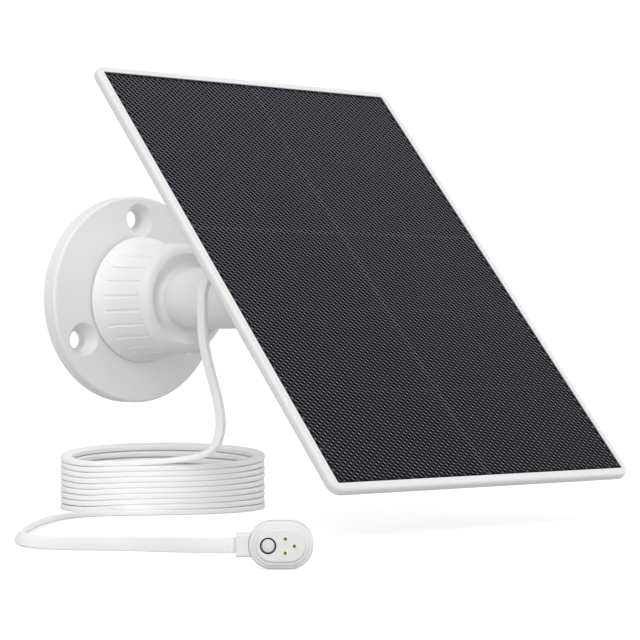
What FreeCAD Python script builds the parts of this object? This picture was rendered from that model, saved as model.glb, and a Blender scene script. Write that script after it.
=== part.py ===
import FreeCAD, Part
import math
import os
from FreeCAD import Placement, Rotation, Vector

# A solar charging panel on a round wall mount, with a flat charging lead that ends in a magnetic connector.
# Millimetres. The wall is the plane Y = 0, outward is -Y and +Z is up. The origin is the centre of the wall
# plate's rear face. "Out" is the distance from the wall, so a point at out = s lies at Y = -s.

# Wall plate
PLATE_R = 34.6
RIM_OUT = 6.2            # height of the side band
HUB_OUT = 7.5            # front of the plate where the collar stands
RIM_WALL = 2.2
SKIN_BACK = 3.6          # the plate is hollow behind this
SCREW_PCD = 54.2
SCREW_ANGLES = (90, 210, 330)
SCREW_HOLE_R = 3.2
COUNTERSINK_R = 5.4
COUNTERSINK_ROUND = 0.6
BOSS_R = 6.4
RIB_WIDTH = 1.8
RIB_SETBACK = 0.6
SPIGOT_R = 14.0
SPIGOT_OUT = 25.0
SPIGOT_FLOOR = 11.0

# Clamp collar
COLLAR_BASE_OUT = 8.1
COLLAR_BASE_R = 21.0
COLLAR_FOOT = 0.4
COLLAR_FLARE = (19.3, 13.2)      # radius, out
COLLAR_WAIST = (18.6, 20.0)
COLLAR_SHOULDER = (17.95, 29.0)
COLLAR_CROWN = (17.25, 31.8)
COLLAR_RIM = (15.0, 33.2)
COLLAR_DISH_SIDE = (13.7, 32.05)
COLLAR_DISH = (12.3, 31.5)
COLLAR_LIP_SIDE = (10.7, 32.1)   # the dish's inner edge turns up along the stem
COLLAR_LIP_OUT = 33.4
COLLAR_SEAT_OUT = 30.2
GROOVES = 24
GROOVE_R = 0.8
GROOVE_DEPTH = 0.3
GROOVE_START = 12.2
GROOVE_TURN = 2.0

# Stem
STEM_R = 10.0
STEM_IN_OUT = 11.6
STEM_FLANGE_R = 13.2
STEM_FLANGE = (26.2, 29.2)
STEM_BORE_R = 7.5
STEM_BORE_OUT = 78.0
STEM_END_OUT = 87.0
STEM_END_ROUND = 2.0
PIVOT_OUT = 98.0
TONGUE_R = 6.0
TONGUE_HALF = 4.0
RUNNING = 0.06           # radial clearance of a turning fit
COLLAR_GAP = 0.4         # between the collar and the flange's edge, and between the collar and the spigot's end
WASHER = 0.9

# Cable gland on the stem's flank. Distances along it are from the stem's axis.
GLAND_OUT = 70.0
GLAND_ANGLE = 155.0      # about the stem, from +X towards +Z
GLAND_ROOT, GLAND_SHOULDER, GLAND_TIP = 7.1, 9.6, 13.0
GLAND_SLEEVE_R = 2.6
GLAND_NOSE_R = (3.6, 2.7)
LEAD_W, LEAD_T = 3.6, 1.7
SLOT_GAP = 0.1
WIRE_RADIUS_AT = 6.2
WIRE_R = 0.8
GROMMET_R = 1.5
GROMMET_L = 2.8
GROMMET_SUNK = 2.0

# Panel, in its own frame: x to the right, y up the face, z out of the face, from the tilt pivot
FACE_ELEVATION = 41.5    # of the face's normal above the horizon
FACE_Z = 19.5
FACE_DROP = -6.8         # centre of the face below the foot of the pivot
PANEL_W, PANEL_H = 120.1, 164.8
PANEL_CORNER_R = 4.0
FRAME_DEPTH = 3.1
FRAME_ROUND_FRONT, FRAME_ROUND_BACK = 1.0, 1.2
BEZEL = 2.5
FACE_CORNER_R = 0.5
TRAY_FLOOR = 1.0
FILM_SET_DOWN = 0.3
FILM = 0.6
CELL_LAYER = 0.4
CELL = 0.2
RIBBON = 0.1
RIBBON_W = 1.2
CELL_COLUMNS, CELL_ROWS = 2, 5
CELL_GAP = 1.0
COVER_INSET = 10.0
COVER_CORNER_R = 7.0
COVER_Z = 11.2
COVER_WALL = 2.0
GASKET = 0.6
COVER_SCREW_XY = [(sx * 43.0, sy * 64.0) for sx in (-1, 1) for sy in (-1, 0, 1)]
COVER_BOSS_R = 2.7
SCREW_HEAD_R = 2.3
SCREW_SHANK_R = 1.1
HEAD_DEPTH = 1.2
HEAD_SUNK = 0.1

# Tilt bracket
EAR_IN, EAR_OUT_X = 4.6, 8.6
EAR_R = 6.5
BRACKET_W, BRACKET_H, BRACKET_T = 36.0, 26.0, 2.4
BRACKET_SCREW_XY = [(sx * 13.5, sy * 9.0) for sx in (-1, 1) for sy in (-1, 1)]
BRACKET_CORNER_R = 4.0
WEB_X, WEB_W, WEB_H = 7.4, 1.6, 23.0
TILT_WASHER_R, TILT_WASHER = 5.2, 0.5
BOLT_R = 2.0
BOLT_HEAD_R, BOLT_HEAD = 3.6, 3.0
SOCKET_R, SOCKET_FLOOR = 1.7, 1.2
BOLT_TAIL = 4.0
NUT_ACROSS, NUT = 7.0, 3.2
PANEL_GROMMET_XY = (-20.0, 20.0)
PANEL_GROMMET_R = 2.4
PANEL_GROMMET_COLLAR = (3.6, 1.2)        # radius, thickness
PANEL_GROMMET_INNER = (3.2, 0.7)
PANEL_GROMMET_BORE_R = 0.9

# Junction board behind the cells
BOARD_W, BOARD_H, BOARD_T = 30.0, 20.0, 1.0
BOARD_Y = 24.0
BOARD_Z = 14.2
BOARD_POST_R = 1.4
BOARD_POST_XY = [(sx * 12.0, sy * 7.0) for sx in (-1, 1) for sy in (-1, 1)]
WINDOW_W, WINDOW_H = 34.0, 24.0

# Charging lead: a flat lead 3.6 x 1.7, drawn here as a round tube of the same section area
CORD_R = 1.4
LEAD_FLOOR = -67.6       # the surface that the lead lies on
COIL_CENTRE = (-15.0, -38.8)
COIL_OUTER_R, COIL_INNER_R = 32.8, 29.0
COIL_HEIGHT = 15.3       # nine turns of the lead at the front
COIL_LEAN = 4.2          # the loose turns stand further apart at the back, degrees
COIL_FRONT_ANGLE = 232.0
HANG_ROUTE = [(-12.24, -70.0, 5.71), (-16.3, -70.2, 7.6), (-21.7, -70.8, 6.3), (-25.2, -71.5, 1.9),
              (-25.4, -71.8, -5.2), (-24.9, -71.6, -14.5), (-22.8, -73.2, -25.0), (-21.1, -74.9, -33.8),
              (-20.6, -75.3, -41.4), (-22.3, -73.5, -48.2), (-29.1, -69.0, -50.6), (-37.0, -60.0, -51.8)]
OUT_ROUTE = [(-31.4, -65.0, -66.2), (-41.0, -59.0, -66.2), (-50.4, -54.0, -66.2), (-60.5, -53.8, -66.2),
             (-72.5, -60.8, -66.2), (-89.0, -76.0, -66.2), (-106.0, -94.5, -66.2), (-122.0, -114.0, -66.2),
             (-132.5, -127.5, -66.2), (-132.2, -143.0, -65.5), (-132.8, -158.9, -64.4), (-134.2, -176.4, -63.4),
             (-135.1, -195.6, -62.4), (-133.1, -208.4, -61.9), (-128.5, -213.3, -61.8)]

# Connector, in its own frame: x along its long axis, y up, z out of its contact face
PLUG_CENTRE = (-121.0, -220.0, -61.8)
PLUG_HEADING = -41.7     # of its long axis, about +Z from +X
PLUG_L, PLUG_W = 15.4, 11.3
PLUG_STEP_L, PLUG_STEP_W = 13.4, 9.6
PLUG_BLOCK_L, PLUG_BLOCK_W = 11.8, 7.8
PLUG_BACK, PLUG_SPLIT, PLUG_FRONT = -4.2, -1.4, 1.6
PLUG_STEP_TOP, PLUG_BLOCK_TOP = 2.2, 2.9
PLUG_SHELL = 1.0
BOOT_L, BOOT_H, BOOT_T = 2.8, 5.6, 3.4
MAGNET_X, MAGNET_R, MAGNET_BEZEL_R = -2.95, 1.65, 1.95
PIN_XY = [(1.1, 1.66), (3.22, 0.0), (1.1, -1.66)]
PIN_R, PIN_TRAVEL = 0.38, 0.7
BARREL_R, BARREL_BORE_R = 0.62, 0.42
BARREL_BACK, PIN_BACK = -1.0, 0.9


def at(x, out, z):
    return Vector(x, -out, z)


def along_y(radius, out_a, out_b, x=0.0, z=0.0):
    return Part.makeCylinder(radius, out_b - out_a, at(x, out_a, z), Vector(0, -1, 0))


def outline(points, place):
    """A closed wire. A plain entry is a corner, and a pair (through, end) is an arc to its end."""
    edges, here = [], place(points[0])
    for entry in points[1:] + [points[0]]:
        if isinstance(entry[0], tuple):
            through, end = (place(p) for p in entry)
            edges.append(Part.Arc(here, through, end).toShape())
        else:
            end = place(entry)
            if not here.isEqual(end, 1e-7):
                edges.append(Part.LineSegment(here, end).toShape())
        here = end
    return Part.Wire(edges)


def turned(points):
    """A solid turned about the wall's normal, from (radius, out) points."""
    face = Part.Face(outline(points, lambda p: Vector(p[0], -p[1], 0)))
    return face.revolve(Vector(0, 0, 0), Vector(0, 1, 0), 360)


def slab(width, height, z_low, z_high, corner=0.0, x=0.0, y=0.0):
    """A flat block with rounded corners, centred on x, y."""
    box = Part.makeBox(width, height, z_high - z_low, Vector(x - width / 2, y - height / 2, z_low))
    if corner:
        box = box.makeFillet(corner, [e for e in box.Edges if abs(e.BoundBox.ZLength - (z_high - z_low)) < 1e-6])
    return box


def stadium(length, width, z_low, z_high):
    half, r = (length - width) / 2, width / 2
    points = [(-half, -r), (half, -r), ((half + r, 0), (half, r)), (-half, r), ((-half - r, 0), (-half, -r))]
    wire = outline(points, lambda p: Vector(p[0], p[1], z_low))
    return Part.Face(wire).extrude(Vector(0, 0, z_high - z_low))


def disc(radius, z_low, z_high, x=0.0, y=0.0):
    return Part.makeCylinder(radius, z_high - z_low, Vector(x, y, z_low))


def round_edges(shape, radius, z):
    """Round every edge that lies in the plane at height z."""
    edges = [e for e in shape.Edges if abs(e.BoundBox.ZMin - z) < 1e-6 and abs(e.BoundBox.ZMax - z) < 1e-6]
    return shape.makeFillet(radius, edges)


def joined(shapes):
    first, rest = shapes[0], shapes[1:]
    return first.fuse(rest).removeSplitter() if rest else first


def placed(shape, placement):
    moved = shape.copy()
    moved.Placement = placement.multiply(moved.Placement)
    return moved


def tube(name, route, radius):
    """A tube along straight runs joined by tangent arcs. Prints the arcs' radii, in millimetres."""
    points = [Vector(*p) for p in route]
    edges, here, radii = [], points[0], []
    for before, corner, after in zip(points, points[1:], points[2:]):
        back, ahead = (before - corner), (after - corner)
        run = min(back.Length, ahead.Length)
        turn = math.pi - back.getAngle(ahead)
        reach = 0.45 * run
        radii.append(reach / math.tan(turn / 2))
        start = corner + back.normalize() * reach
        end = corner + ahead.normalize() * reach
        middle_dir = (back + ahead).normalize()
        depth = radii[-1] * (1 / math.cos(turn / 2) - 1)
        edges.append(Part.LineSegment(here, start).toShape())
        edges.append(Part.Arc(start, corner + middle_dir * depth, end).toShape())
        here = end
    edges.append(Part.LineSegment(here, points[-1]).toShape())
    path = Part.Wire(edges)
    section = Part.Wire(Part.makeCircle(radius, points[0], points[1] - points[0]))
    pipe = path.makePipeShell([section], True, False)
    ratio = pipe.Volume / (math.pi * radius ** 2 * path.Length)
    print(f"{name}: length {path.Length:.1f}, radii {[round(r, 1) for r in radii]}, volume ratio {ratio:.4f}")
    return pipe


def screw_point(angle, out):
    r = SCREW_PCD / 2
    return at(r * math.cos(math.radians(angle)), out, r * math.sin(math.radians(angle)))


def plate_surface(radius):
    """Out of the plate's slightly conical front at a radius."""
    return RIM_OUT + (HUB_OUT - RIM_OUT) * (PLATE_R - 1 - radius) / (PLATE_R - 1 - COLLAR_BASE_R)


def wall_plate():
    shell = turned([(PLATE_R - RIM_WALL, 0), (PLATE_R - 0.6, 0), ((PLATE_R - 0.18, 0.18), (PLATE_R, 0.6)),
                    (PLATE_R, RIM_OUT - 1), ((PLATE_R - 0.29, RIM_OUT - 0.29), (PLATE_R - 1, RIM_OUT)),
                    (COLLAR_BASE_R, HUB_OUT), (SPIGOT_R, HUB_OUT), (SPIGOT_R, SPIGOT_OUT),
                    (STEM_R + RUNNING, SPIGOT_OUT), (STEM_R + RUNNING, SPIGOT_FLOOR), (0, SPIGOT_FLOOR),
                    (0, SPIGOT_FLOOR - 2.4), (STEM_R - 2, SPIGOT_FLOOR - 2.4), (STEM_R - 2, SKIN_BACK),
                    (PLATE_R - RIM_WALL, SKIN_BACK)])
    ring = along_y(SPIGOT_R, 0, SKIN_BACK).cut(along_y(SPIGOT_R - 2.2, 0, SKIN_BACK))
    bosses = [Part.makeCylinder(BOSS_R, SKIN_BACK, screw_point(a, 0), Vector(0, -1, 0)) for a in SCREW_ANGLES]
    ribs = []
    for angle in range(30, 390, 60):
        length = PLATE_R - RIM_WALL - SPIGOT_R + 1
        rib = Part.makeBox(length, SKIN_BACK - RIB_SETBACK, RIB_WIDTH,
                           Vector(SPIGOT_R - 0.5, -SKIN_BACK, -RIB_WIDTH / 2))
        ribs.append(rib.rotate(Vector(), Vector(0, 1, 0), -angle))
    plate = joined([shell, ring] + bosses + ribs)
    surface = plate_surface(SCREW_PCD / 2)
    for angle in SCREW_ANGLES:
        hole = Part.makeCylinder(SCREW_HOLE_R, 12, screw_point(angle, -1), Vector(0, -1, 0))
        depth = surface - SKIN_BACK + 1.5
        sink = Part.makeCone(SCREW_HOLE_R, COUNTERSINK_R + 1.5 * (COUNTERSINK_R - SCREW_HOLE_R) / (depth - 1.5),
                             depth, screw_point(angle, SKIN_BACK), Vector(0, -1, 0))
        plate = plate.cut([hole, sink])
        centre = screw_point(angle, surface)
        mouth = [e for e in plate.Edges if (e.BoundBox.Center - centre).Length < 1
                 and e.BoundBox.XLength > 2 * COUNTERSINK_R - 1]
        plate = plate.makeFillet(COUNTERSINK_ROUND, mouth)
    return plate


def clamp_collar():
    """A dished nut with a concave, grooved side. Its seat holds the stem's flange against the spigot's end."""
    foot = (COLLAR_BASE_R, COLLAR_BASE_OUT + COLLAR_FOOT)
    flange_room, spigot_end = STEM_FLANGE_R + COLLAR_GAP, SPIGOT_OUT + COLLAR_GAP
    blank = turned([(SPIGOT_R + RUNNING, COLLAR_BASE_OUT), (COLLAR_BASE_R - COLLAR_FOOT, COLLAR_BASE_OUT), foot,
                    (COLLAR_FLARE, COLLAR_WAIST), COLLAR_SHOULDER, (COLLAR_CROWN, COLLAR_RIM),
                    (COLLAR_RIM[0] - 0.2, COLLAR_RIM[1]), (COLLAR_DISH_SIDE, COLLAR_DISH),
                    (COLLAR_LIP_SIDE, (STEM_R + RUNNING, COLLAR_LIP_OUT)), (STEM_R + RUNNING, COLLAR_SEAT_OUT),
                    (flange_room, COLLAR_SEAT_OUT), (flange_room, spigot_end), (SPIGOT_R + RUNNING, spigot_end)])
    flare = Part.Arc(*(at(radius, out, 0) for radius, out in (foot, COLLAR_FLARE, COLLAR_WAIST))).toShape()
    side = [p for p in flare.discretize(8) if -p.y > GROOVE_START] + [at(*COLLAR_SHOULDER, 0)]
    path = [p + Vector(GROOVE_R - GROOVE_DEPTH, 0, 0) for p in side]
    cutter = joined([Part.makeSphere(GROOVE_R, p) for p in path]
                    + [Part.makeCylinder(GROOVE_R, (q - p).Length, p, q - p) for p, q in zip(path, path[1:])])
    cutters = []
    for index in range(GROOVES):
        turned_cutter = cutter.copy()
        turned_cutter.rotate(Vector(), Vector(0, 1, 0), GROOVE_TURN + index * 360 / GROOVES)
        cutters.append(turned_cutter)
    return blank.cut(cutters)


def washer(inner, outer, out_a, out_b):
    return along_y(outer, out_a, out_b).cut(along_y(inner, out_a, out_b))


def radial(radius_a, radius_b):
    """A start point, direction and length along the gland's axis."""
    angle = math.radians(GLAND_ANGLE)
    direction = Vector(math.cos(angle), 0, math.sin(angle))
    return at(0, GLAND_OUT, 0) + direction * radius_a, direction, radius_b - radius_a


def gland_cylinder(radius, near, far):
    start, direction, length = radial(near, far)
    return Part.makeCylinder(radius, length, start, direction)


def lead_slot(width, thickness, near, far):
    """The flat lead's section along the gland's axis, wide along Y."""
    block = Part.makeBox(far - near, width, thickness, Vector(near, -width / 2, -thickness / 2))
    block.rotate(Vector(), Vector(0, 1, 0), -GLAND_ANGLE)
    block.translate(at(0, GLAND_OUT, 0))
    return block


def wire_point(out):
    angle = math.radians(GLAND_ANGLE)
    return at(WIRE_RADIUS_AT * math.cos(angle), out, WIRE_RADIUS_AT * math.sin(angle))


def stem():
    near, far = STEM_FLANGE
    r, end, rounding = STEM_R, STEM_END_OUT, STEM_END_ROUND
    mid = rounding * (1 - math.sqrt(0.5))
    body = turned([(STEM_BORE_R, STEM_IN_OUT), (r, STEM_IN_OUT), (r, near), (STEM_FLANGE_R, near),
                   (STEM_FLANGE_R, far), (r, far), (r, end - rounding), ((r - mid, end - mid), (r - rounding, end)),
                   (0, end), (0, STEM_BORE_OUT), (STEM_BORE_R, STEM_BORE_OUT)])
    block = Part.makeBox(2 * TONGUE_HALF, PIVOT_OUT - end + 3, 2 * TONGUE_R,
                         Vector(-TONGUE_HALF, -PIVOT_OUT, -TONGUE_R))
    eye = Part.makeCylinder(TONGUE_R, 2 * TONGUE_HALF, at(-TONGUE_HALF, PIVOT_OUT, 0), Vector(1, 0, 0))
    bolt_hole = Part.makeCylinder(BOLT_R + RUNNING, 40, at(-20, PIVOT_OUT, 0), Vector(1, 0, 0))
    wire_hole = Part.makeCylinder(WIRE_R + 0.2, 20, wire_point(STEM_BORE_OUT - 2), Vector(0, -1, 0))
    grommet_seat = Part.makeCylinder(GROMMET_R, GROMMET_SUNK + 1, wire_point(end - GROMMET_SUNK), Vector(0, -1, 0))
    gland_seat = gland_cylinder(GLAND_SLEEVE_R, STEM_BORE_R - 2.5, STEM_R + 2)
    return joined([body, block, eye]).cut([bolt_hole, wire_hole, grommet_seat, gland_seat])


def cable_gland():
    """A sleeve in the stem's wall with a tapered nose outside it, slotted for the lead."""
    start, direction, length = radial(GLAND_SHOULDER, GLAND_TIP)
    nose = Part.makeCone(*GLAND_NOSE_R, length, start, direction)
    body = joined([gland_cylinder(GLAND_SLEEVE_R, GLAND_ROOT, STEM_R),
                   nose.cut(along_y(STEM_R, GLAND_OUT - 10, GLAND_OUT + 10))])
    return body.cut(lead_slot(LEAD_W + SLOT_GAP, LEAD_T + SLOT_GAP, GLAND_ROOT - 2, GLAND_TIP + 1))


def inner_lead():
    """The flat lead through the gland and a round wire along the stem's bore."""
    flat = lead_slot(LEAD_W, LEAD_T, WIRE_RADIUS_AT - WIRE_R, GLAND_TIP)
    wire = Part.makeCylinder(WIRE_R, STEM_END_OUT + 0.5 - GLAND_OUT, wire_point(GLAND_OUT), Vector(0, -1, 0))
    return joined([flat, wire])


def stem_grommet():
    inner_out = STEM_END_OUT - GROMMET_SUNK
    ring = Part.makeCylinder(GROMMET_R, GROMMET_L, wire_point(inner_out), Vector(0, -1, 0))
    return ring.cut(Part.makeCylinder(WIRE_R, GROMMET_L + 2, wire_point(inner_out - 1), Vector(0, -1, 0)))


def tilt_washers():
    washers = []
    for side in (-1, 1):
        start = at(side * TONGUE_HALF, PIVOT_OUT, 0)
        ring = Part.makeCylinder(TILT_WASHER_R, TILT_WASHER, start, Vector(side, 0, 0))
        washers.append(ring.cut(Part.makeCylinder(BOLT_R + RUNNING, TILT_WASHER, start, Vector(side, 0, 0))))
    return Part.makeCompound(washers)


TRAY_BACK = FACE_Z - FRAME_DEPTH
SHEET_BACK = TRAY_BACK + TRAY_FLOOR
FILM_FRONT = FACE_Z - FILM_SET_DOWN
FILM_BACK = FILM_FRONT - FILM
CELLS_BACK = FILM_BACK - CELL_LAYER
FACE_W, FACE_H = PANEL_W - 2 * BEZEL, PANEL_H - 2 * BEZEL
COVER_W, COVER_H = PANEL_W - 2 * COVER_INSET, PANEL_H - 2 * COVER_INSET


def panel_frame():
    tray = slab(PANEL_W, PANEL_H, TRAY_BACK, FACE_Z, PANEL_CORNER_R, y=FACE_DROP)
    tray = round_edges(round_edges(tray, FRAME_ROUND_FRONT, FACE_Z), FRAME_ROUND_BACK, TRAY_BACK)
    pocket = slab(FACE_W, FACE_H, SHEET_BACK, FACE_Z + 1, FACE_CORNER_R, y=FACE_DROP)
    window = slab(WINDOW_W, WINDOW_H, TRAY_BACK - 1, FACE_Z, 2.0, y=BOARD_Y)
    bosses = [disc(COVER_BOSS_R, COVER_Z + COVER_WALL, TRAY_BACK + 0.2, x, y + FACE_DROP) for x, y in COVER_SCREW_XY]
    pilots = [disc(SCREW_SHANK_R, COVER_Z, TRAY_BACK + 0.3, x, y + FACE_DROP) for x, y in COVER_SCREW_XY]
    return joined([tray.cut([pocket, window])] + bosses).cut(pilots)


def cell_boxes():
    """Two columns of five cells."""
    pitch_x, pitch_y = FACE_W / CELL_COLUMNS, FACE_H / CELL_ROWS
    boxes = []
    for column in range(CELL_COLUMNS):
        for row in range(CELL_ROWS):
            x = (column - (CELL_COLUMNS - 1) / 2) * pitch_x
            y = (row - (CELL_ROWS - 1) / 2) * pitch_y + FACE_DROP
            boxes.append(slab(pitch_x - 2 * CELL_GAP, pitch_y - CELL_GAP, CELLS_BACK, CELLS_BACK + CELL, x=x, y=y))
    return boxes


def ribbon_boxes():
    """One flat copper ribbon down the middle of each column of cells."""
    low = CELLS_BACK + CELL
    return [slab(RIBBON_W, FACE_H - 6, low, low + RIBBON, x=side * FACE_W / 4, y=FACE_DROP) for side in (-1, 1)]


def rear_cover():
    rim_z = TRAY_BACK - GASKET
    shell = slab(COVER_W, COVER_H, COVER_Z, rim_z, COVER_CORNER_R, y=FACE_DROP)
    shell = round_edges(shell, 1.6, COVER_Z)
    hollow = slab(COVER_W - 2 * COVER_WALL, COVER_H - 2 * COVER_WALL, COVER_Z + COVER_WALL, rim_z + 1,
                  COVER_CORNER_R - COVER_WALL, y=FACE_DROP)
    posts = [disc(COVER_BOSS_R, COVER_Z + COVER_WALL - 0.2, TRAY_BACK, x, y) for x, y in BRACKET_SCREW_XY]
    board_posts = [disc(BOARD_POST_R, COVER_Z + COVER_WALL - 0.2, BOARD_Z, x, BOARD_Y + y)
                   for x, y in BOARD_POST_XY]
    cuts = [disc(SCREW_SHANK_R, COVER_Z - 1, TRAY_BACK - 1, x, y) for x, y in BRACKET_SCREW_XY]
    for x, y in COVER_SCREW_XY:
        cuts.append(disc(SCREW_SHANK_R + 0.2, COVER_Z - 1, TRAY_BACK, x, y + FACE_DROP))
        cuts.append(disc(SCREW_HEAD_R + 0.3, COVER_Z - 1, COVER_Z + HEAD_SUNK + HEAD_DEPTH, x, y + FACE_DROP))
    cuts.append(disc(PANEL_GROMMET_R, COVER_Z - 1, TRAY_BACK, *PANEL_GROMMET_XY))
    return joined([shell.cut(hollow)] + posts + board_posts).cut(cuts)


def cross_headed_screw(x, y, head_back, length):
    """A pan-head screw pointing along +z, with a cross recess."""
    head = round_edges(disc(SCREW_HEAD_R, head_back, head_back + HEAD_DEPTH, x, y), 0.5, head_back)
    shank = disc(SCREW_SHANK_R, head_back + HEAD_DEPTH, head_back + HEAD_DEPTH + length, x, y)
    recess = [slab(2.6, 0.6, head_back - 1, head_back + 0.7, x=x, y=y),
              slab(0.6, 2.6, head_back - 1, head_back + 0.7, x=x, y=y)]
    return head.cut(recess).fuse(shank).removeSplitter()


def rear_gasket():
    low, high = TRAY_BACK - GASKET, TRAY_BACK
    ring = slab(COVER_W, COVER_H, low, high, COVER_CORNER_R, y=FACE_DROP)
    return ring.cut(slab(COVER_W - 2 * COVER_WALL, COVER_H - 2 * COVER_WALL, low, high,
                         COVER_CORNER_R - COVER_WALL, y=FACE_DROP))


def hinge_bracket():
    """A plate screwed to the rear cover, with two ears that hold the stem's tongue."""
    base = slab(BRACKET_W, BRACKET_H, COVER_Z - BRACKET_T, COVER_Z, BRACKET_CORNER_R)
    base = round_edges(base, 0.8, COVER_Z - BRACKET_T)
    ears = []
    for side in (-1, 1):
        x = side * (EAR_IN + EAR_OUT_X) / 2
        width = EAR_OUT_X - EAR_IN
        ears.append(slab(width, 2 * EAR_R, 0, COVER_Z - BRACKET_T + 0.5, x=x))
        ears.append(Part.makeCylinder(EAR_R, width, Vector(x - width / 2, 0, 0), Vector(1, 0, 0)))
    web = [slab(WEB_W, WEB_H, COVER_Z - BRACKET_T - 2.2, COVER_Z - 1, x=side * WEB_X) for side in (-1, 1)]
    hole = Part.makeCylinder(BOLT_R + RUNNING, 40, Vector(-20, 0, 0), Vector(1, 0, 0))
    low = COVER_Z - BRACKET_T
    cuts = [disc(SCREW_SHANK_R + 0.2, low - 1, COVER_Z, x, y) for x, y in BRACKET_SCREW_XY]
    cuts += [disc(SCREW_HEAD_R + 0.2, low - 1, low + HEAD_SUNK + HEAD_DEPTH, x, y) for x, y in BRACKET_SCREW_XY]
    return joined([base] + ears + web).cut(cuts + [hole])


def hexagon(x, radius):
    """A hexagon across the hinge's axis."""
    angles = [math.radians(60 * k) for k in range(7)]
    return Part.makePolygon([Vector(x, radius * math.cos(a), radius * math.sin(a)) for a in angles])


def hinge_bolt():
    head = Part.makeCylinder(BOLT_HEAD_R, BOLT_HEAD, Vector(EAR_OUT_X, 0, 0), Vector(1, 0, 0))
    rim = [e for e in head.Edges if abs(e.BoundBox.XMin - EAR_OUT_X - BOLT_HEAD) < 1e-6 and len(e.Vertexes) == 1]
    head = head.makeFillet(0.6, rim)
    socket = Part.Face(hexagon(EAR_OUT_X + SOCKET_FLOOR, SOCKET_R)).extrude(Vector(BOLT_HEAD, 0, 0))
    shank = Part.makeCylinder(BOLT_R, 2 * EAR_OUT_X + BOLT_TAIL, Vector(-EAR_OUT_X - BOLT_TAIL, 0, 0),
                              Vector(1, 0, 0))
    return head.cut(socket).fuse(shank).removeSplitter()


def hinge_nut():
    reach = NUT_ACROSS / 2 / math.cos(math.radians(30))
    nut = Part.Face(hexagon(-EAR_OUT_X - NUT, reach)).extrude(Vector(NUT, 0, 0))
    return nut.cut(Part.makeCylinder(BOLT_R, 10, Vector(-EAR_OUT_X - 5, 0, 0), Vector(1, 0, 0)))


def panel_grommet():
    """A rubber bush through the rear cover, with a collar on each side of it."""
    x, y = PANEL_GROMMET_XY
    outer_r, outer = PANEL_GROMMET_COLLAR
    inner_r, inner = PANEL_GROMMET_INNER
    inside = COVER_Z + COVER_WALL
    sleeve = disc(PANEL_GROMMET_R, COVER_Z, inside, x, y)
    outer_collar = round_edges(disc(outer_r, COVER_Z - outer, COVER_Z, x, y), 0.6, COVER_Z - outer)
    inner_collar = disc(inner_r, inside, inside + inner, x, y)
    return joined([sleeve, outer_collar, inner_collar]).cut(disc(PANEL_GROMMET_BORE_R, 0, 20, x, y))


def panel_parts():
    """Every piece of the panel in the panel's own frame."""
    top = BOARD_Z + BOARD_T
    ribbons, cells = ribbon_boxes(), cell_boxes()
    sheet = slab(FACE_W, FACE_H, CELLS_BACK, FILM_BACK, FACE_CORNER_R, y=FACE_DROP)
    cover_head = COVER_Z + HEAD_SUNK
    bracket_head = COVER_Z - BRACKET_T + HEAD_SUNK
    return {
        "panel_frame": panel_frame(),
        "face_film": slab(FACE_W, FACE_H, FILM_BACK, FILM_FRONT, FACE_CORNER_R, y=FACE_DROP),
        "encapsulant": sheet.cut(cells + ribbons),
        "solar_cells": Part.makeCompound(cells),
        "cell_ribbons": Part.makeCompound(ribbons),
        "back_sheet": slab(FACE_W, FACE_H, SHEET_BACK, CELLS_BACK, FACE_CORNER_R, y=FACE_DROP),
        "rear_cover": rear_cover(),
        "rear_gasket": rear_gasket(),
        "cover_screws": Part.makeCompound([cross_headed_screw(x, y + FACE_DROP, cover_head, 2.9)
                                           for x, y in COVER_SCREW_XY]),
        "hinge_bracket": hinge_bracket(),
        "bracket_screws": Part.makeCompound([cross_headed_screw(x, y, bracket_head, 5.0)
                                             for x, y in BRACKET_SCREW_XY]),
        "hinge_bolt": hinge_bolt(),
        "hinge_nut": hinge_nut(),
        "panel_grommet": panel_grommet(),
        "junction_board": slab(BOARD_W, BOARD_H, BOARD_Z, top, 1.0, y=BOARD_Y),
        "bypass_diode": slab(4.4, 2.6, top, top + 1.1, 0.3, x=-8.0, y=BOARD_Y + 4),
        "board_terminal": slab(8.0, 5.0, top, top + 1.4, 0.4, x=-8.0, y=BOARD_Y - 4),
        "tab_leads": Part.makeCompound([slab(2.0, 0.3, top, SHEET_BACK, x=x, y=BOARD_Y) for x in (4.0, 10.0)]),
    }


def connector_shell(z_low, z_high, floor_low, floor_high):
    shell = stadium(PLUG_L, PLUG_W, z_low, z_high)
    if floor_low is not None:
        shell = shell.cut(stadium(PLUG_L - 2 * PLUG_SHELL, PLUG_W - 2 * PLUG_SHELL, floor_low, floor_high))
    return shell


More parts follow.
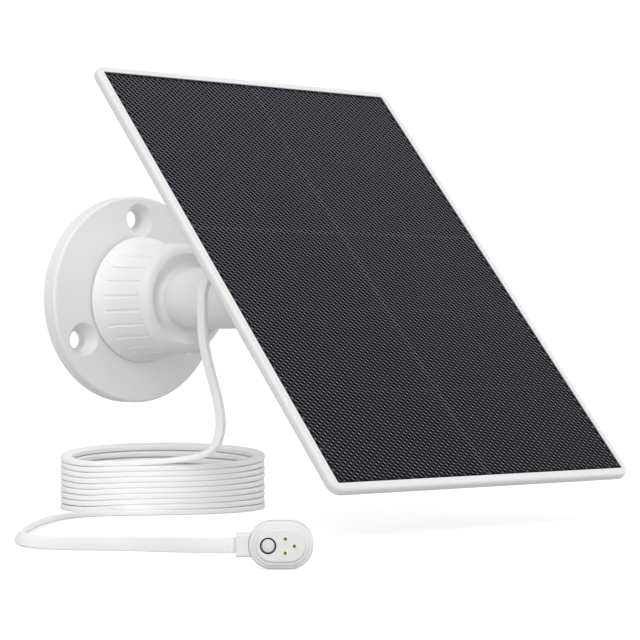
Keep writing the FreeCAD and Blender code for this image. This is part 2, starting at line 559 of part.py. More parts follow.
def connector_parts():
    """Every piece of the connector in the connector's own frame, except the sprung pins."""
    rear = connector_shell(PLUG_BACK, PLUG_SPLIT, PLUG_BACK + PLUG_SHELL, PLUG_SPLIT)
    rear = round_edges(rear, 0.8, PLUG_BACK)
    step = stadium(PLUG_STEP_L, PLUG_STEP_W, PLUG_FRONT - 0.2, PLUG_STEP_TOP)
    front = connector_shell(PLUG_SPLIT, PLUG_FRONT, PLUG_SPLIT, PLUG_FRONT - 1.2)
    front = joined([round_edges(front, 0.7, PLUG_FRONT), round_edges(step, 0.4, PLUG_STEP_TOP)])
    block_hole = stadium(PLUG_BLOCK_L, PLUG_BLOCK_W, PLUG_SPLIT, PLUG_STEP_TOP + 1)
    block = round_edges(stadium(PLUG_BLOCK_L, PLUG_BLOCK_W, 0.0, PLUG_BLOCK_TOP), 0.45, PLUG_BLOCK_TOP)
    magnet_hole = disc(MAGNET_BEZEL_R, -1, PLUG_BLOCK_TOP + 1, MAGNET_X)
    barrel_holes = [disc(BARREL_R, -1, PLUG_BLOCK_TOP + 1, x, y) for x, y in PIN_XY]
    bezel = disc(MAGNET_BEZEL_R, 0.0, PLUG_BLOCK_TOP + 0.05, MAGNET_X)
    bezel = bezel.cut(disc(MAGNET_R, -1, 5, MAGNET_X))
    barrels = [disc(BARREL_R, BARREL_BACK, PLUG_BLOCK_TOP + 0.1, x, y).cut(
        disc(BARREL_BORE_R, BARREL_BACK + 0.3, 5, x, y)) for x, y in PIN_XY]
    boot_mouth = -PLUG_L / 2 - BOOT_L
    boot = Part.makeBox(BOOT_L + 1.2, BOOT_H, BOOT_T, Vector(boot_mouth, -BOOT_H / 2, -BOOT_T / 2 - 0.2))
    boot = boot.makeFillet(0.6, [e for e in boot.Edges if e.BoundBox.XLength > BOOT_L])
    shell_body = stadium(PLUG_L, PLUG_W, PLUG_BACK, PLUG_FRONT)
    board_hole = [disc(BARREL_R + 0.01, -3, 0, x, y) for x, y in PIN_XY]
    board = stadium(PLUG_BLOCK_L, PLUG_BLOCK_W, -1.0, -0.1).cut(board_hole)
    return {
        "connector_rear": rear,
        "connector_front": front.cut(block_hole),
        "connector_boot": boot.cut(shell_body),
        "contact_block": block.cut([magnet_hole] + barrel_holes),
        "magnet_bezel": bezel,
        "magnet": round_edges(disc(MAGNET_R, 0.0, PLUG_BLOCK_TOP + 0.25, MAGNET_X), 0.3, PLUG_BLOCK_TOP + 0.25),
        "pin_barrels": Part.makeCompound(barrels),
        "connector_board": board,
    }


def contact_pin(x, y):
    tip = PLUG_BLOCK_TOP + 0.1 + PIN_TRAVEL
    return round_edges(disc(PIN_R, PIN_BACK, tip, x, y), 0.3, tip)


def pin_spring(x, y):
    """A fine coil spring between the barrel's floor and the pin."""
    low, high, wire = BARREL_BACK + 0.3, PIN_BACK, 0.06
    mean_r = PIN_R - wire - 0.02
    height = high - low - 2 * wire
    helix = Part.makeHelix(height / 4, height, mean_r)
    section = Part.Wire(Part.makeCircle(wire, Vector(mean_r, 0, 0), Vector(0, 1, 0)))
    coil = Part.Wire(helix.Edges).makePipeShell([section], True, True)
    coil.translate(Vector(x, y, low + wire))
    return coil


def lead_coil():
    """The outer shape of the nine wound turns, higher at the back where they stand apart."""
    x, y = COIL_CENTRE
    base = Vector(x, y, LEAD_FLOOR)
    tall = COIL_HEIGHT + 12
    ring = Part.makeCylinder(COIL_OUTER_R, tall, base).cut(Part.makeCylinder(COIL_INNER_R, tall, base))
    front = math.radians(COIL_FRONT_ANGLE)
    hinge_point = Vector(x + COIL_OUTER_R * math.cos(front), y + COIL_OUTER_R * math.sin(front),
                         LEAD_FLOOR + COIL_HEIGHT)
    cutter = Part.makeBox(200, 200, 40, Vector(-100, -100, 0))
    cutter.rotate(Vector(), Vector(-math.sin(front), math.cos(front), 0), COIL_LEAN)
    cutter.translate(hinge_point)
    return ring.cut(cutter)


PANEL_FRAME = Placement(at(0, PIVOT_OUT, 0), Rotation(Vector(1, 0, 0), 90 - FACE_ELEVATION))
HEADING = math.radians(PLUG_HEADING)
PLUG_FRAME = Placement(Vector(*PLUG_CENTRE), Rotation(Vector(math.cos(HEADING), math.sin(HEADING), 0),
                                                      Vector(0, 0, 1), Vector(), "XYZ"))


def build():
    nodes = {
        "wall_plate": wall_plate(),
        "lower_washer": washer(STEM_R + 0.3, STEM_FLANGE_R, SPIGOT_OUT, SPIGOT_OUT + WASHER),
        "clamp_collar": clamp_collar(),
        "upper_washer": washer(STEM_R + 0.5, STEM_FLANGE_R, COLLAR_SEAT_OUT - 0.7, COLLAR_SEAT_OUT),
        "stem": stem(),
        "stem_plug": along_y(STEM_BORE_R, STEM_IN_OUT, STEM_IN_OUT + 2.4),
        "stem_grommet": stem_grommet(),
        "cable_gland": cable_gland(),
        "inner_lead": inner_lead(),
        "tilt_washers": tilt_washers(),
    }
    nodes.update({name: placed(shape, PANEL_FRAME) for name, shape in panel_parts().items()})
    nodes.update({name: placed(shape, PLUG_FRAME) for name, shape in connector_parts().items()})
    for index, (x, y) in enumerate(PIN_XY, start=1):
        nodes[f"contact_pin_{index}"] = placed(contact_pin(x, y), PLUG_FRAME)
        nodes[f"pin_spring_{index}"] = placed(pin_spring(x, y), PLUG_FRAME)
    coil = lead_coil()
    boot = nodes["connector_boot"]
    nodes["lead_coil"] = coil
    nodes["lead_hang"] = tube("lead_hang", HANG_ROUTE, CORD_R).cut(coil)
    nodes["lead_out"] = tube("lead_out", OUT_ROUTE, CORD_R).cut([coil, boot])
    return nodes


def main():
    os.makedirs("parts", exist_ok=True)
    for name, shape in build().items():
        valid = shape.isValid() and len(shape.Solids) > 0
        print(f"{name}: {len(shape.Solids)} solid(s), {shape.Volume:.2f} mm3{'' if valid else ' INVALID'}")
        shape.exportStep(f"parts/{name}.step")


main()
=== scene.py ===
import math

import bmesh
import bpy
from mathutils import Matrix, Vector, geometry


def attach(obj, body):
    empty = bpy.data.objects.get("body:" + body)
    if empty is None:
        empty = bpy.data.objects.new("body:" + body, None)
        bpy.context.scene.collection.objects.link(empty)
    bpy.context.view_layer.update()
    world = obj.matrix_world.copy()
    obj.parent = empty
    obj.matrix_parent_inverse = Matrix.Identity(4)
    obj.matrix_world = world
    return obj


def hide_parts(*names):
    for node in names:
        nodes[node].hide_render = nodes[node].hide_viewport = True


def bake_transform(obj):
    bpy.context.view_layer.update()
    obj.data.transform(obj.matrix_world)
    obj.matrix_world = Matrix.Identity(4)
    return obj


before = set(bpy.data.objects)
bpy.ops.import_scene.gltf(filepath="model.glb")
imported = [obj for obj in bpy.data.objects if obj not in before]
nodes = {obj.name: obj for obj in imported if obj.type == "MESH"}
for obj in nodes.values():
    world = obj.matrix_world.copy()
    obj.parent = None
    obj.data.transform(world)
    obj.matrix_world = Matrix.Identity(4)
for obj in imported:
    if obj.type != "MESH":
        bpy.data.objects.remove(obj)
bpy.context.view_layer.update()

# A solar charging panel on a round wall mount, with a flat charging lead. Metres, in the frame of the
# CAD model: the wall is the plane y = 0, outward is -y and +z is up.
scene = bpy.context.scene

# The lead: flat, wound in nine loose turns, from the gland on the stem to the connector
LEAD_W, LEAD_T = 0.0036, 0.0017
LEAD_CORNER = 0.00036
LEAD_CORNER_STEPS = 3
LINE_STEPS = 6           # points on the smooth line for each point of the route
FLOOR_Z = -0.0676
COIL_CENTRE = (-0.0150, -0.0388)
COIL_R = 0.0309
TURNS = 9
POINTS_PER_TURN = 16
ENTRY_ANGLE, EXIT_ANGLE = 224, 238
STEP_START, STEP_LENGTH = 2, 42          # where each turn steps down, in degrees of travel after the entry
FAN_ANGLE = 232                          # the side where the turns lie close; they stand apart opposite it
FAN = math.tan(math.radians(4.2))        # slope of the top turn, across the coil
COIL_BANK = 14                           # how far the turns tip inward at the back, in degrees
WANDER = 0.00013                         # how far a turn strays from the coil's radius
HANG_ROUTE = [(-0.01224, -0.0700, 0.00571), (-0.0163, -0.0702, 0.0076), (-0.0217, -0.0708, 0.0063),
              (-0.0252, -0.0715, 0.0019), (-0.0254, -0.0718, -0.0052), (-0.0249, -0.0716, -0.0145),
              (-0.0228, -0.0732, -0.0250), (-0.0211, -0.0749, -0.0338), (-0.0206, -0.0753, -0.0414),
              (-0.0223, -0.0735, -0.0482), (-0.0291, -0.0690, -0.0503), (-0.0370, -0.0600, -0.0514)]
HANG_AZIMUTH = [90, 90, 90, 89, 88, 88, 88, 88, 88, 80, 62, 50]      # of its wide side, about +z from +x
OUT_ROUTE = [(-0.0314, -0.0650, -0.06675), (-0.0410, -0.0590, -0.06675), (-0.0504, -0.0540, -0.06675),
             (-0.0605, -0.0538, -0.06675), (-0.0725, -0.0608, -0.0666), (-0.0890, -0.0760, -0.0664),
             (-0.1060, -0.0945, -0.0661), (-0.1220, -0.1140, -0.0659), (-0.1318, -0.1281, -0.0657),
             (-0.1320, -0.1430, -0.0656), (-0.1328, -0.1589, -0.0646), (-0.1342, -0.1764, -0.0635),
             (-0.1351, -0.1956, -0.0625), (-0.1331, -0.2084, -0.0620), (-0.1285, -0.2133, -0.0618)]
OUT_ROLL = [0, 0, 0, 0, -4, -12, -24, -38, -60, -84, -90, -90, -90, -90, -90]   # from flat on the floor

# The face film, in the panel's own frame: u to the right, v up the face, w out of it, from the tilt pivot
PIVOT = Vector((0, -0.098, 0))
PANEL_TILT = math.radians(48.5)
FACE_W, FACE_H = 0.1151, 0.1598
FACE_CENTRE_V = -0.0068
FILM_W = 0.0192
FILM_T = 0.0006
FILM_CORNER = 0.0005
FILM_CORNER_STEPS = 6
RIM_STARTS, RIM_DARKEST = 0.0015, 0.0005     # how far from the edge it starts to darken, and is darkest
DIMPLE_A = Vector((0.00128, 0.000915))
DIMPLE_B = Vector((-0.00064, 0.00137))
DIMPLE_R = 0.00067
DIMPLE_DEPTH = 0.00020
DIMPLE_SIDES = 8
DIMPLE_MARGIN = 1.2 * DIMPLE_R           # the least from a dimple's centre to the film's edge
BORDER_EDGE = 3 * DIMPLE_R               # only the plain border's faces have edges longer than this
# The gaps that show through it: each one's place across or up the face, as a share of the face's size from
# its centre, half its width, and how plainly it shows
COLUMN_LINES = [(-0.25, 0.0004, 0.06), (0.005, 0.0008, 0.13), (0.26, 0.0004, 0.06)]
ROW_LINES = [(0.295, 0.0004, 0.06), (0.095, 0.0006, 0.11), (-0.103, 0.0004, 0.06), (-0.298, 0.0004, 0.06)]

# The studio
WHITE_SEEN = 1.02        # what the camera sees behind the object
SURROUNDINGS = 0.66      # how much light comes from all round
FLOOR_SEEN = (0.30, 0.80)    # its shade and glow, as the camera sees it
FLOOR_BOUNCE = 0.60          # its shade, as the object sees it
FLOOR_GAP = 0.00002          # how far it lies below the lead


# ---------------------------------------------------------------- camera, lights, floor

def add_camera():
    data = bpy.data.cameras.new("camera")
    data.sensor_width = 36
    data.lens = 134.2
    data.clip_start = 0.01
    data.clip_end = 100
    camera = bpy.data.objects.new("camera", data)
    scene.collection.objects.link(camera)
    camera.location = (-0.4879, -0.6460, -0.0134)
    camera.rotation_euler = Vector((0.6649, 0.7469, 0.0081)).to_track_quat("-Z", "Y").to_euler()
    scene.camera = camera


def by_camera_ray(tree, seen, unseen):
    """Joins what the camera sees and what lights the object. Returns the mixed output."""
    path = tree.nodes.new("ShaderNodeLightPath")
    mix = tree.nodes.new("ShaderNodeMixShader")
    tree.links.new(path.outputs["Is Camera Ray"], mix.inputs["Fac"])
    tree.links.new(unseen, mix.inputs[1])
    tree.links.new(seen, mix.inputs[2])
    return mix.outputs[0]


def add_world():
    """Soft grey surroundings, which the camera sees as plain white."""
    world = bpy.data.worlds.new("studio")
    scene.world = world
    world.use_nodes = True
    tree = world.node_tree
    tree.nodes.clear()
    shades = []
    for strength in (WHITE_SEEN, SURROUNDINGS):
        shade = tree.nodes.new("ShaderNodeBackground")
        shade.inputs["Strength"].default_value = strength
        shade.inputs["Color"].default_value = (1, 1, 1, 1)
        shades.append(shade.outputs[0])
    out = tree.nodes.new("ShaderNodeOutputWorld")
    tree.links.new(by_camera_ray(tree, *shades), out.inputs["Surface"])


def paper(tree, albedo, glow):
    """A matt surface that also glows a little, so that it stays white."""
    shader = tree.nodes.new("ShaderNodeBsdfPrincipled")
    shader.inputs["Base Color"].default_value = (albedo, albedo, albedo, 1)
    shader.inputs["Roughness"].default_value = 0.9
    shader.inputs["Specular IOR Level"].default_value = 0.0
    shader.inputs["Emission Color"].default_value = (1, 1, 1, 1)
    shader.inputs["Emission Strength"].default_value = glow
    return shader.outputs[0]


def add_floor():
    mesh = bpy.data.meshes.new("floor")
    maker = bmesh.new()
    bmesh.ops.create_circle(maker, cap_ends=True, segments=96, radius=6.0)
    maker.to_mesh(mesh)
    maker.free()
    floor = bpy.data.objects.new("floor", mesh)
    scene.collection.objects.link(floor)
    floor.location.z = FLOOR_Z - FLOOR_GAP
    material = bpy.data.materials.new("floor_paper")
    material.use_nodes = True
    tree = material.node_tree
    tree.nodes.clear()
    out = tree.nodes.new("ShaderNodeOutputMaterial")
    tree.links.new(by_camera_ray(tree, paper(tree, *FLOOR_SEEN), paper(tree, FLOOR_BOUNCE, 0.0)),
                   out.inputs["Surface"])
    mesh.materials.append(material)


def sun_light(name, direction, strength, angle):
    data = bpy.data.lights.new(name, "SUN")
    data.energy = strength
    data.angle = math.radians(angle)
    light = bpy.data.objects.new(name, data)
    scene.collection.objects.link(light)
    light.rotation_euler = Vector(direction).to_track_quat("-Z", "Y").to_euler()


def add_studio():
    add_world()
    add_floor()
    sun_light("overhead", (0.15, 0.25, -1.0), 1.0, 70)
    sun_light("key", (0.75, 0.42, -0.55), 0.65, 26)
    sun_light("front", (0.52, 0.80, -0.03), 1.35, 30)
    sun_light("side", (-0.95, 0.25, -0.12), 1.1, 40)


# ---------------------------------------------------------------- materials

class Finish:
    """A node material built up from object-space noise."""

    def __init__(self, name, colour, rough, metallic=0.0, specular=0.5):
        self.material = bpy.data.materials.new(name)
        self.material.use_nodes = True
        self.tree = self.material.node_tree
        self.shader = self.tree.nodes["Principled BSDF"]
        self.shader.inputs["Metallic"].default_value = metallic
        self.shader.inputs["Specular IOR Level"].default_value = specular
        self.place = self.add("ShaderNodeTexCoord").outputs["Object"]
        self.colour = colour
        self.rough = rough
        self.height = None

    def add(self, kind, **settings):
        node = self.tree.nodes.new(kind)
        for key, value in settings.items():
            setattr(node, key, value)
        return node

    def join(self, source, target):
        self.tree.links.new(source, target)

    def noise(self, per_metre, detail=3.0, rough=0.5, place=None):
        node = self.add("ShaderNodeTexNoise")
        node.inputs["Scale"].default_value = per_metre
        node.inputs["Detail"].default_value = detail
        node.inputs["Roughness"].default_value = rough
        self.join(place or self.place, node.inputs["Vector"])
        return node.outputs["Fac"]

    def stretched(self, scale):
        node = self.add("ShaderNodeMapping")
        node.inputs["Scale"].default_value = scale
        self.join(self.place, node.inputs["Vector"])
        return node.outputs["Vector"]

    def ramp(self, value, low, high, out_low, out_high):
        node = self.add("ShaderNodeMapRange")
        node.inputs["From Min"].default_value = low
        node.inputs["From Max"].default_value = high
        node.inputs["To Min"].default_value = out_low
        node.inputs["To Max"].default_value = out_high
        self.join(value, node.inputs["Value"])
        return node.outputs["Result"]

    def mixed(self, factor, colour_a, colour_b):
        node = self.add("ShaderNodeMix", data_type="RGBA")
        for socket, value in (("A", colour_a), ("B", colour_b)):
            target = [s for s in node.inputs if s.name == socket and s.type == "RGBA"][0]
            if isinstance(value, tuple):
                target.default_value = (*value, 1)
            else:
                self.join(value, target)
        self.join(factor, node.inputs["Factor"])
        return [s for s in node.outputs if s.type == "RGBA"][0]

    def vary_colour(self, per_metre, other):
        factor = self.ramp(self.noise(per_metre), 0.35, 0.65, 0.0, 1.0)
        self.join(self.mixed(factor, self.colour, other), self.shader.inputs["Base Color"])
        return self

    def paint_shade_along_y(self, start, end, colour):
        """Paints shade: turns the colour gradually into another, darker one, from one place to another along
        y.
        """
        parts = self.add("ShaderNodeSeparateXYZ")
        self.join(self.place, parts.inputs["Vector"])
        factor = self.ramp(parts.outputs["Y"], start, end, 0.0, 1.0)
        before = self.shader.inputs["Base Color"].links[0].from_socket
        self.join(self.mixed(factor, before, colour), self.shader.inputs["Base Color"])
        return self

    def vary_rough(self, per_metre, spread):
        value = self.ramp(self.noise(per_metre), 0.3, 0.7, self.rough - spread, self.rough + spread)
        self.join(value, self.shader.inputs["Roughness"])
        return self

    def grain(self, value, depth):
        """Adds a height to the surface, up to a depth in metres."""
        node = self.add("ShaderNodeBump")
        node.inputs["Strength"].default_value = 1.0
        node.inputs["Distance"].default_value = depth
        self.join(value, node.inputs["Height"])
        if self.height:
            self.join(self.height, node.inputs["Normal"])
        self.height = node.outputs["Normal"]
        self.join(self.height, self.shader.inputs["Normal"])
        return self


def moulded(name, colour, other, rough, spark=2600, depth=0.000012):
    """Moulded plastic: a fine spark-eroded grain, faint flow marks and uneven gloss."""
    finish = Finish(name, colour, rough)
    finish.vary_colour(38, other).vary_rough(420, 0.05)
    finish.grain(finish.noise(spark, 4.0, 0.6), depth)
    finish.grain(finish.noise(70, 2.0), 0.00008)
    return finish


def metal(name, colour, other, rough, scratch=(900, 900, 60)):
    finish = Finish(name, colour, rough, metallic=1.0)
    finish.vary_colour(300, other).vary_rough(700, 0.08)
    finish.grain(finish.noise(4, 3.0, place=finish.stretched(scratch)), 0.000006)
    return finish


def make_materials():
    white = (0.80, 0.80, 0.80)
    made = {
        "white_housing": moulded("white_housing", white, (0.775, 0.775, 0.77), 0.42),
        # Painted shade: a darker copy of the white plastic for the wall plate
        "plate_white_shaded": moulded("plate_white_shaded", (0.74, 0.74, 0.74), (0.715, 0.715, 0.71), 0.42),
        "connector_face": moulded("connector_face", (0.64, 0.64, 0.645), (0.62, 0.62, 0.625), 0.36, 3200,
                                  0.000008),
        "friction_plastic": moulded("friction_plastic", (0.55, 0.55, 0.56), (0.5, 0.5, 0.5), 0.5),
        # Painted shade: the lead's colour darkens towards the connector
        "lead_jacket": moulded("lead_jacket", (0.88, 0.88, 0.88), (0.86, 0.86, 0.86), 0.46, 3000,
                               0.000006).paint_shade_along_y(-0.172, -0.212, (0.72, 0.72, 0.72)),
        # Painted shade: darker copies of the white plastic for the frame and the connector
        "frame_white_shaded": moulded("frame_white_shaded", (0.65, 0.65, 0.65), (0.625, 0.625, 0.622), 0.40),
        "connector_white_shaded": moulded("connector_white_shaded", (0.66, 0.66, 0.66), (0.635, 0.635, 0.635), 0.38, 3200,
                                   0.000008),
        "seal_rubber": moulded("seal_rubber", (0.028, 0.028, 0.030), (0.045, 0.045, 0.046), 0.7),
        "clear_encapsulant": moulded("clear_encapsulant", (0.16, 0.17, 0.19), (0.2, 0.21, 0.22), 0.2),
        "silicon_cell": moulded("silicon_cell", (0.012, 0.016, 0.035), (0.02, 0.024, 0.05), 0.3),
        "tinned_copper": metal("tinned_copper", (0.72, 0.70, 0.67), (0.62, 0.55, 0.48), 0.35),
        "circuit_board": moulded("circuit_board", (0.72, 0.73, 0.72), (0.66, 0.68, 0.67), 0.45),
        "component_black": moulded("component_black", (0.02, 0.02, 0.02), (0.03, 0.03, 0.03), 0.5),
        "steel_fastener": metal("steel_fastener", (0.62, 0.62, 0.63), (0.52, 0.52, 0.53), 0.3),
        "nickel_magnet": metal("nickel_magnet", (0.44, 0.44, 0.44), (0.39, 0.39, 0.39), 0.36,
                               (300, 300, 300)),
        "dark_bezel": metal("dark_bezel", (0.030, 0.030, 0.030), (0.022, 0.022, 0.022), 0.4),
        "gold_contact": metal("gold_contact", (0.80, 0.77, 0.56), (0.72, 0.68, 0.48), 0.42),
        "pin_tip": metal("pin_tip", (0.21, 0.21, 0.11), (0.15, 0.15, 0.08), 0.32),
        "spring_steel": metal("spring_steel", (0.55, 0.55, 0.56), (0.45, 0.45, 0.46), 0.3),
    }
    return {slot: finish.material for slot, finish in made.items()}


# The plate, frame, cover, bracket and connector shells take darker copies of the white plastic, painted shade
OWN_FINISH = {"wall_plate": "plate_white_shaded", "panel_frame": "frame_white_shaded", "rear_cover": "frame_white_shaded",
              "hinge_bracket": "frame_white_shaded", "connector_boot": "connector_white_shaded",
              "connector_rear": "connector_white_shaded", "connector_front": "connector_white_shaded",
              "contact_pin_1": "pin_tip", "contact_pin_2": "pin_tip", "contact_pin_3": "pin_tip"}


def dress_cad_nodes(materials):
    """Each CAD node takes the finish of the slot it names, or its own finish: a darker copy of the white
    plastic, which is painted shade, or the pins' tip finish.
    """
    for name, node in nodes.items():
        slot = node.data.materials[0].name.split(".")[0]
        node.data.materials[0] = materials[OWN_FINISH.get(name, slot)]


# ---------------------------------------------------------------- the lead

def smooth(t):
    t = min(max(t, 0.0), 1.0)
    return t * t * (3 - 2 * t)


def fan_share(angle):
    """How far a place on the coil is towards the side where its turns stand apart, from 0 to 1."""
    return (1 - math.cos(angle - math.radians(FAN_ANGLE))) / 2


def coil_points():
    """Nine turns, clockwise from above, each stepping down past the place where the lead leaves."""
    travel_end = 360 * TURNS - (EXIT_ANGLE - ENTRY_ANGLE)
    count = TURNS * POINTS_PER_TURN
    radius = COIL_R / math.cos(math.pi / POINTS_PER_TURN)
    points = []
    for index in range(1, count):
        travel = travel_end * index / count
        angle = math.radians(ENTRY_ANGLE - travel)
        level = TURNS - sum(smooth((travel - 360 * turn - STEP_START) / STEP_LENGTH) for turn in range(TURNS))
        away = fan_share(angle)
        spread = 1 + 2 * COIL_R * FAN * away / (TURNS * LEAD_T)
        r = radius + WANDER * math.sin(2.4 * level + 1.0) * (0.4 + 0.6 * away)
        points.append(Vector((COIL_CENTRE[0] + r * math.cos(angle), COIL_CENTRE[1] + r * math.sin(angle),
                              FLOOR_Z + LEAD_T / 2 + level * LEAD_T * spread)))
    return points


def lead_route():
    """The route's points, and at each the direction of the lead's wide side."""
    hang = [Vector(p) for p in HANG_ROUTE]
    coil = coil_points()
    out = [Vector(p) for p in OUT_ROUTE]
    wide = [Vector((math.cos(math.radians(a)), math.sin(math.radians(a)), 0)) for a in HANG_AZIMUTH]
    for point in coil:
        # The lowest turn lies flat on the floor
        inward = Vector((COIL_CENTRE[0] - point.x, COIL_CENTRE[1] - point.y, 0)).normalized()
        lifted = min((point.z - FLOOR_Z) / LEAD_T - 0.5, 1.0)
        bank = math.radians(COIL_BANK) * fan_share(math.atan2(-inward.y, -inward.x)) * lifted
        wide.append(inward * math.cos(bank) - Vector((0, 0, math.sin(bank))))
    for index, (point, roll) in enumerate(zip(out, OUT_ROLL)):
        ahead = out[min(index + 1, len(out) - 1)] - out[max(index - 1, 0)]
        side = Vector((ahead.y, -ahead.x, 0)).normalized()
        turn = math.radians(roll)
        wide.append(side * math.cos(turn) + Vector((0, 0, math.sin(turn))))
    return hang + coil + out, wide


def nurbs_line(points, resolution):
    """Points along the smooth curve that has the route's points as its control points."""
    curve = bpy.data.curves.new("lead_line", "CURVE")
    curve.dimensions = "3D"
    curve.resolution_u = resolution
    spline = curve.splines.new("NURBS")
    spline.points.add(len(points) - 1)
    for target, point in zip(spline.points, points):
        target.co = (*point, 1)
    spline.order_u = 3
    spline.use_endpoint_u = True
    carrier = bpy.data.objects.new("lead_line", curve)
    mesh = bpy.data.meshes.new_from_object(carrier)
    line = [v.co.copy() for v in mesh.vertices]
    bpy.data.objects.remove(carrier)
    bpy.data.meshes.remove(mesh)
    return line


def lead_section():
    """A rounded rectangle, wide along its first axis."""
    half_w, half_t = LEAD_W / 2 - LEAD_CORNER, LEAD_T / 2 - LEAD_CORNER
    ring = []
    for quarter, (sx, sy) in enumerate([(1, 1), (-1, 1), (-1, -1), (1, -1)]):
        for step in range(LEAD_CORNER_STEPS + 1):
            angle = math.radians(90 * (quarter + step / LEAD_CORNER_STEPS))
            ring.append((sx * half_w + LEAD_CORNER * math.cos(angle),
                         sy * half_t + LEAD_CORNER * math.sin(angle)))
    return ring


def swept(name, line, wide, section):
    """A closed mesh of one section along a line. Its wide side turns from one given direction to the next."""
    mesh = bpy.data.meshes.new(name)
    maker = bmesh.new()
    rings = []
    last = len(line) - 1
    for index, point in enumerate(line):
        tangent = (line[min(index + 1, last)] - line[max(index - 1, 0)]).normalized()
        where = index / last * (len(wide) - 1)
        low = min(int(where), len(wide) - 2)
        w = wide[low].lerp(wide[low + 1], where - low)
        w = (w - tangent * w.dot(tangent)).normalized()
        t = tangent.cross(w)
        rings.append([maker.verts.new(point + w * a + t * b) for a, b in section])
    for here, there in zip(rings, rings[1:]):
        for k in range(len(section)):
            n = (k + 1) % len(section)
            maker.faces.new((here[k], here[n], there[n], there[k]))
    maker.faces.new(list(reversed(rings[0])))
    maker.faces.new(rings[-1])
    bmesh.ops.recalc_face_normals(maker, faces=maker.faces)
    for face in maker.faces:
        face.smooth = len(face.verts) == 4
    maker.to_mesh(mesh)
    maker.free()
    piece = bpy.data.objects.new(name, mesh)
    scene.collection.objects.link(piece)
    return piece


def add_lead(materials):
    points, wide = lead_route()
    line = nurbs_line(points, LINE_STEPS)
    lead = swept("charging_lead", line, wide, lead_section())
    lead.data.materials.append(materials["lead_jacket"])
    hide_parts("lead_hang", "lead_coil", "lead_out")
    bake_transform(lead)


# ---------------------------------------------------------------- the panel's face film

def panel_matrix():
    return Matrix.Translation(PIVOT) @ Matrix.Rotation(PANEL_TILT, 4, "X")


def face_outline():
    points = []
    half_w, half_h = FACE_W / 2 - FILM_CORNER, FACE_H / 2 - FILM_CORNER
    for quarter, (sx, sy) in enumerate([(1, 1), (-1, 1), (-1, -1), (1, -1)]):
        for step in range(FILM_CORNER_STEPS + 1):
            angle = math.radians(90 * (quarter + step / FILM_CORNER_STEPS))
            points.append(Vector((sx * half_w + FILM_CORNER * math.cos(angle),
                                  sy * half_h + FILM_CORNER * math.sin(angle))))
    return points


def film_points():
    """The film's outline, then each dimple's bottom and rim. Returns the points and each one's depth."""
    points = face_outline()
    depths = [0.0] * len(points)
    reach_u, reach_v = FACE_W / 2 - DIMPLE_MARGIN, FACE_H / 2 - DIMPLE_MARGIN
    span = int(FACE_H / DIMPLE_A.length) + 8
    for i in range(-span, span + 1):
        for j in range(-span, span + 1):
            centre = DIMPLE_A * i + DIMPLE_B * j
            if abs(centre.x) > reach_u or abs(centre.y) > reach_v:
                continue
            points.append(centre)
            depths.append(1.0)
            for side in range(DIMPLE_SIDES):
                angle = 2 * math.pi * (side + 0.5) / DIMPLE_SIDES
                rim = Vector((math.cos(angle), math.sin(angle))) * DIMPLE_R
                points.append(centre + rim)
                depths.append(0.0)
    return points, depths


def same_place(point):
    """A key that is equal for a point before and after the triangulation."""
    return round(point.x, 7), round(point.y, 7)


def add_film(materials):
    points, depths = film_points()
    rim = list(range(len(face_outline())))
    placed, _, faces, _, _, _ = geometry.delaunay_2d_cdt(points, [], [rim], 1, 1e-9)
    depth_of = {same_place(point): depth for point, depth in zip(points, depths)}
    maker = bmesh.new()
    verts = []
    for point in placed:
        depth = depth_of.get(same_place(point), 0.0)
        verts.append(maker.verts.new((point.x, point.y + FACE_CENTRE_V, FILM_W - depth * DIMPLE_DEPTH)))
    for face in faces:
        maker.faces.new([verts[i] for i in face])
    top = list(maker.faces)
    edges = [e for e in maker.edges if e.is_boundary]
    made = bmesh.ops.extrude_edge_only(maker, edges=edges)["geom"]
    low = [g for g in made if isinstance(g, bmesh.types.BMVert)]
    bmesh.ops.translate(maker, verts=low, vec=(0, 0, -FILM_T))
    low_edges = [g for g in made if isinstance(g, bmesh.types.BMEdge) and g.is_boundary]
    bmesh.ops.contextual_create(maker, geom=low_edges)
    bmesh.ops.recalc_face_normals(maker, faces=maker.faces)
    for face in top:
        face.smooth = not any(e.calc_length() > BORDER_EDGE for e in face.edges)
    mesh = bpy.data.meshes.new("face_film_embossed")
    maker.to_mesh(mesh)
    maker.free()
    place = mesh.attributes.new("on_face", "FLOAT_VECTOR", "POINT")
    place.data.foreach_set("vector", [c for v in mesh.vertices
                                      for c in (v.co.x, v.co.y - FACE_CENTRE_V, FILM_W - v.co.z)])
    film = bpy.data.objects.new("face_film_embossed", mesh)
    scene.collection.objects.link(film)
    film.data.transform(panel_matrix())
    film.data.materials.append(materials["embossed_film"])
    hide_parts("face_film")
    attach(film, "panel")


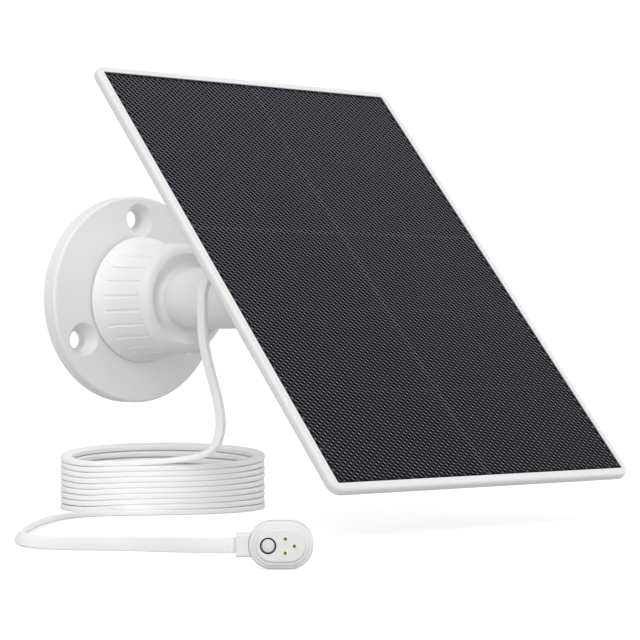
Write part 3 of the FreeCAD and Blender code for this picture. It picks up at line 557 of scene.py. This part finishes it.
def film_material():
    """Dark embossed film, with the gaps between the cells showing faintly through it.

    Its dimples are painted black, painted shade in their hollows. It is lighter between the dimples of a row,
    a painted highlight, and darker between the rows, painted shade, most so towards the film's foot, and
    darkest at its rim."""
    finish = Finish("embossed_film", (0.1, 0.1, 0.11), 0.55, specular=0.03)
    attribute = finish.add("ShaderNodeAttribute", attribute_name="on_face")
    parts = finish.add("ShaderNodeSeparateXYZ")
    finish.join(attribute.outputs["Vector"], parts.inputs["Vector"])
    # Painted shade: the dimples' hollows are painted black
    pit_shade = finish.ramp(parts.outputs["Z"], 0.0, 0.04 * DIMPLE_DEPTH, 0.0, 1.0)
    # Painted highlight and shade: lighter bars between the dimples of a row, darker lanes between the rows
    rows = finish.add("ShaderNodeVectorMath", operation="DOT_PRODUCT")
    across = Vector((-DIMPLE_A.y, DIMPLE_A.x)) * (2 * math.pi / DIMPLE_A.cross(DIMPLE_B))
    finish.join(attribute.outputs["Vector"], rows.inputs[0])
    rows.inputs[1].default_value = (across.x, across.y, 0)
    wave = finish.add("ShaderNodeMath", operation="COSINE")
    finish.join(rows.outputs["Value"], wave.inputs[0])
    row_highlight = finish.ramp(wave.outputs[0], -0.4, 0.95, 0.0, 1.0)
    # The painted highlight and shade are strongest towards the film's foot
    up_face = finish.ramp(parts.outputs["Y"], -FACE_H / 2, FACE_H / 2, 0.0, 1.0)
    uneven = finish.mixed(finish.noise(900), (0.142, 0.145, 0.170), (0.192, 0.195, 0.226))
    highlight_bars = finish.mixed(up_face, (0.192, 0.196, 0.228), uneven)
    shaded_lanes = finish.mixed(up_face, (0.022, 0.023, 0.028), (0.050, 0.052, 0.061))
    field = finish.mixed(row_highlight, shaded_lanes, highlight_bars)
    for socket, half in (("X", FACE_W / 2), ("Y", FACE_H / 2)):
        away = finish.add("ShaderNodeMath", operation="ABSOLUTE")
        finish.join(parts.outputs[socket], away.inputs[0])
        rim = finish.ramp(away.outputs[0], half - RIM_STARTS, half - RIM_DARKEST, 0.0, 0.95)
        field = finish.mixed(rim, field, (0.006, 0.006, 0.008))
    lines = None
    for socket, size, places in (("X", FACE_W, COLUMN_LINES), ("Y", FACE_H, ROW_LINES)):
        for share, half, strength in places:
            away = finish.add("ShaderNodeMath", operation="SUBTRACT")
            finish.join(parts.outputs[socket], away.inputs[0])
            away.inputs[1].default_value = share * size
            near = finish.add("ShaderNodeMath", operation="ABSOLUTE")
            finish.join(away.outputs[0], near.inputs[0])
            line = finish.ramp(near.outputs[0], half * 0.4, half * 1.6, strength, 0.0)
            if lines is None:
                lines = line
            else:
                most = finish.add("ShaderNodeMath", operation="MAXIMUM")
                finish.join(lines, most.inputs[0])
                finish.join(line, most.inputs[1])
                lines = most.outputs[0]
    lit = finish.mixed(lines, field, (0.22, 0.22, 0.23))
    finish.join(finish.mixed(pit_shade, lit, (0.0008, 0.0008, 0.0016)), finish.shader.inputs["Base Color"])
    finish.vary_rough(600, 0.06)
    finish.grain(finish.noise(5200, 2.0), 0.00001)
    return finish.material


# ---------------------------------------------------------------- the scene

scene.view_settings.view_transform = "Standard"
add_camera()
materials = make_materials()
materials["embossed_film"] = film_material()
dress_cad_nodes(materials)
add_lead(materials)
add_film(materials)
add_studio()
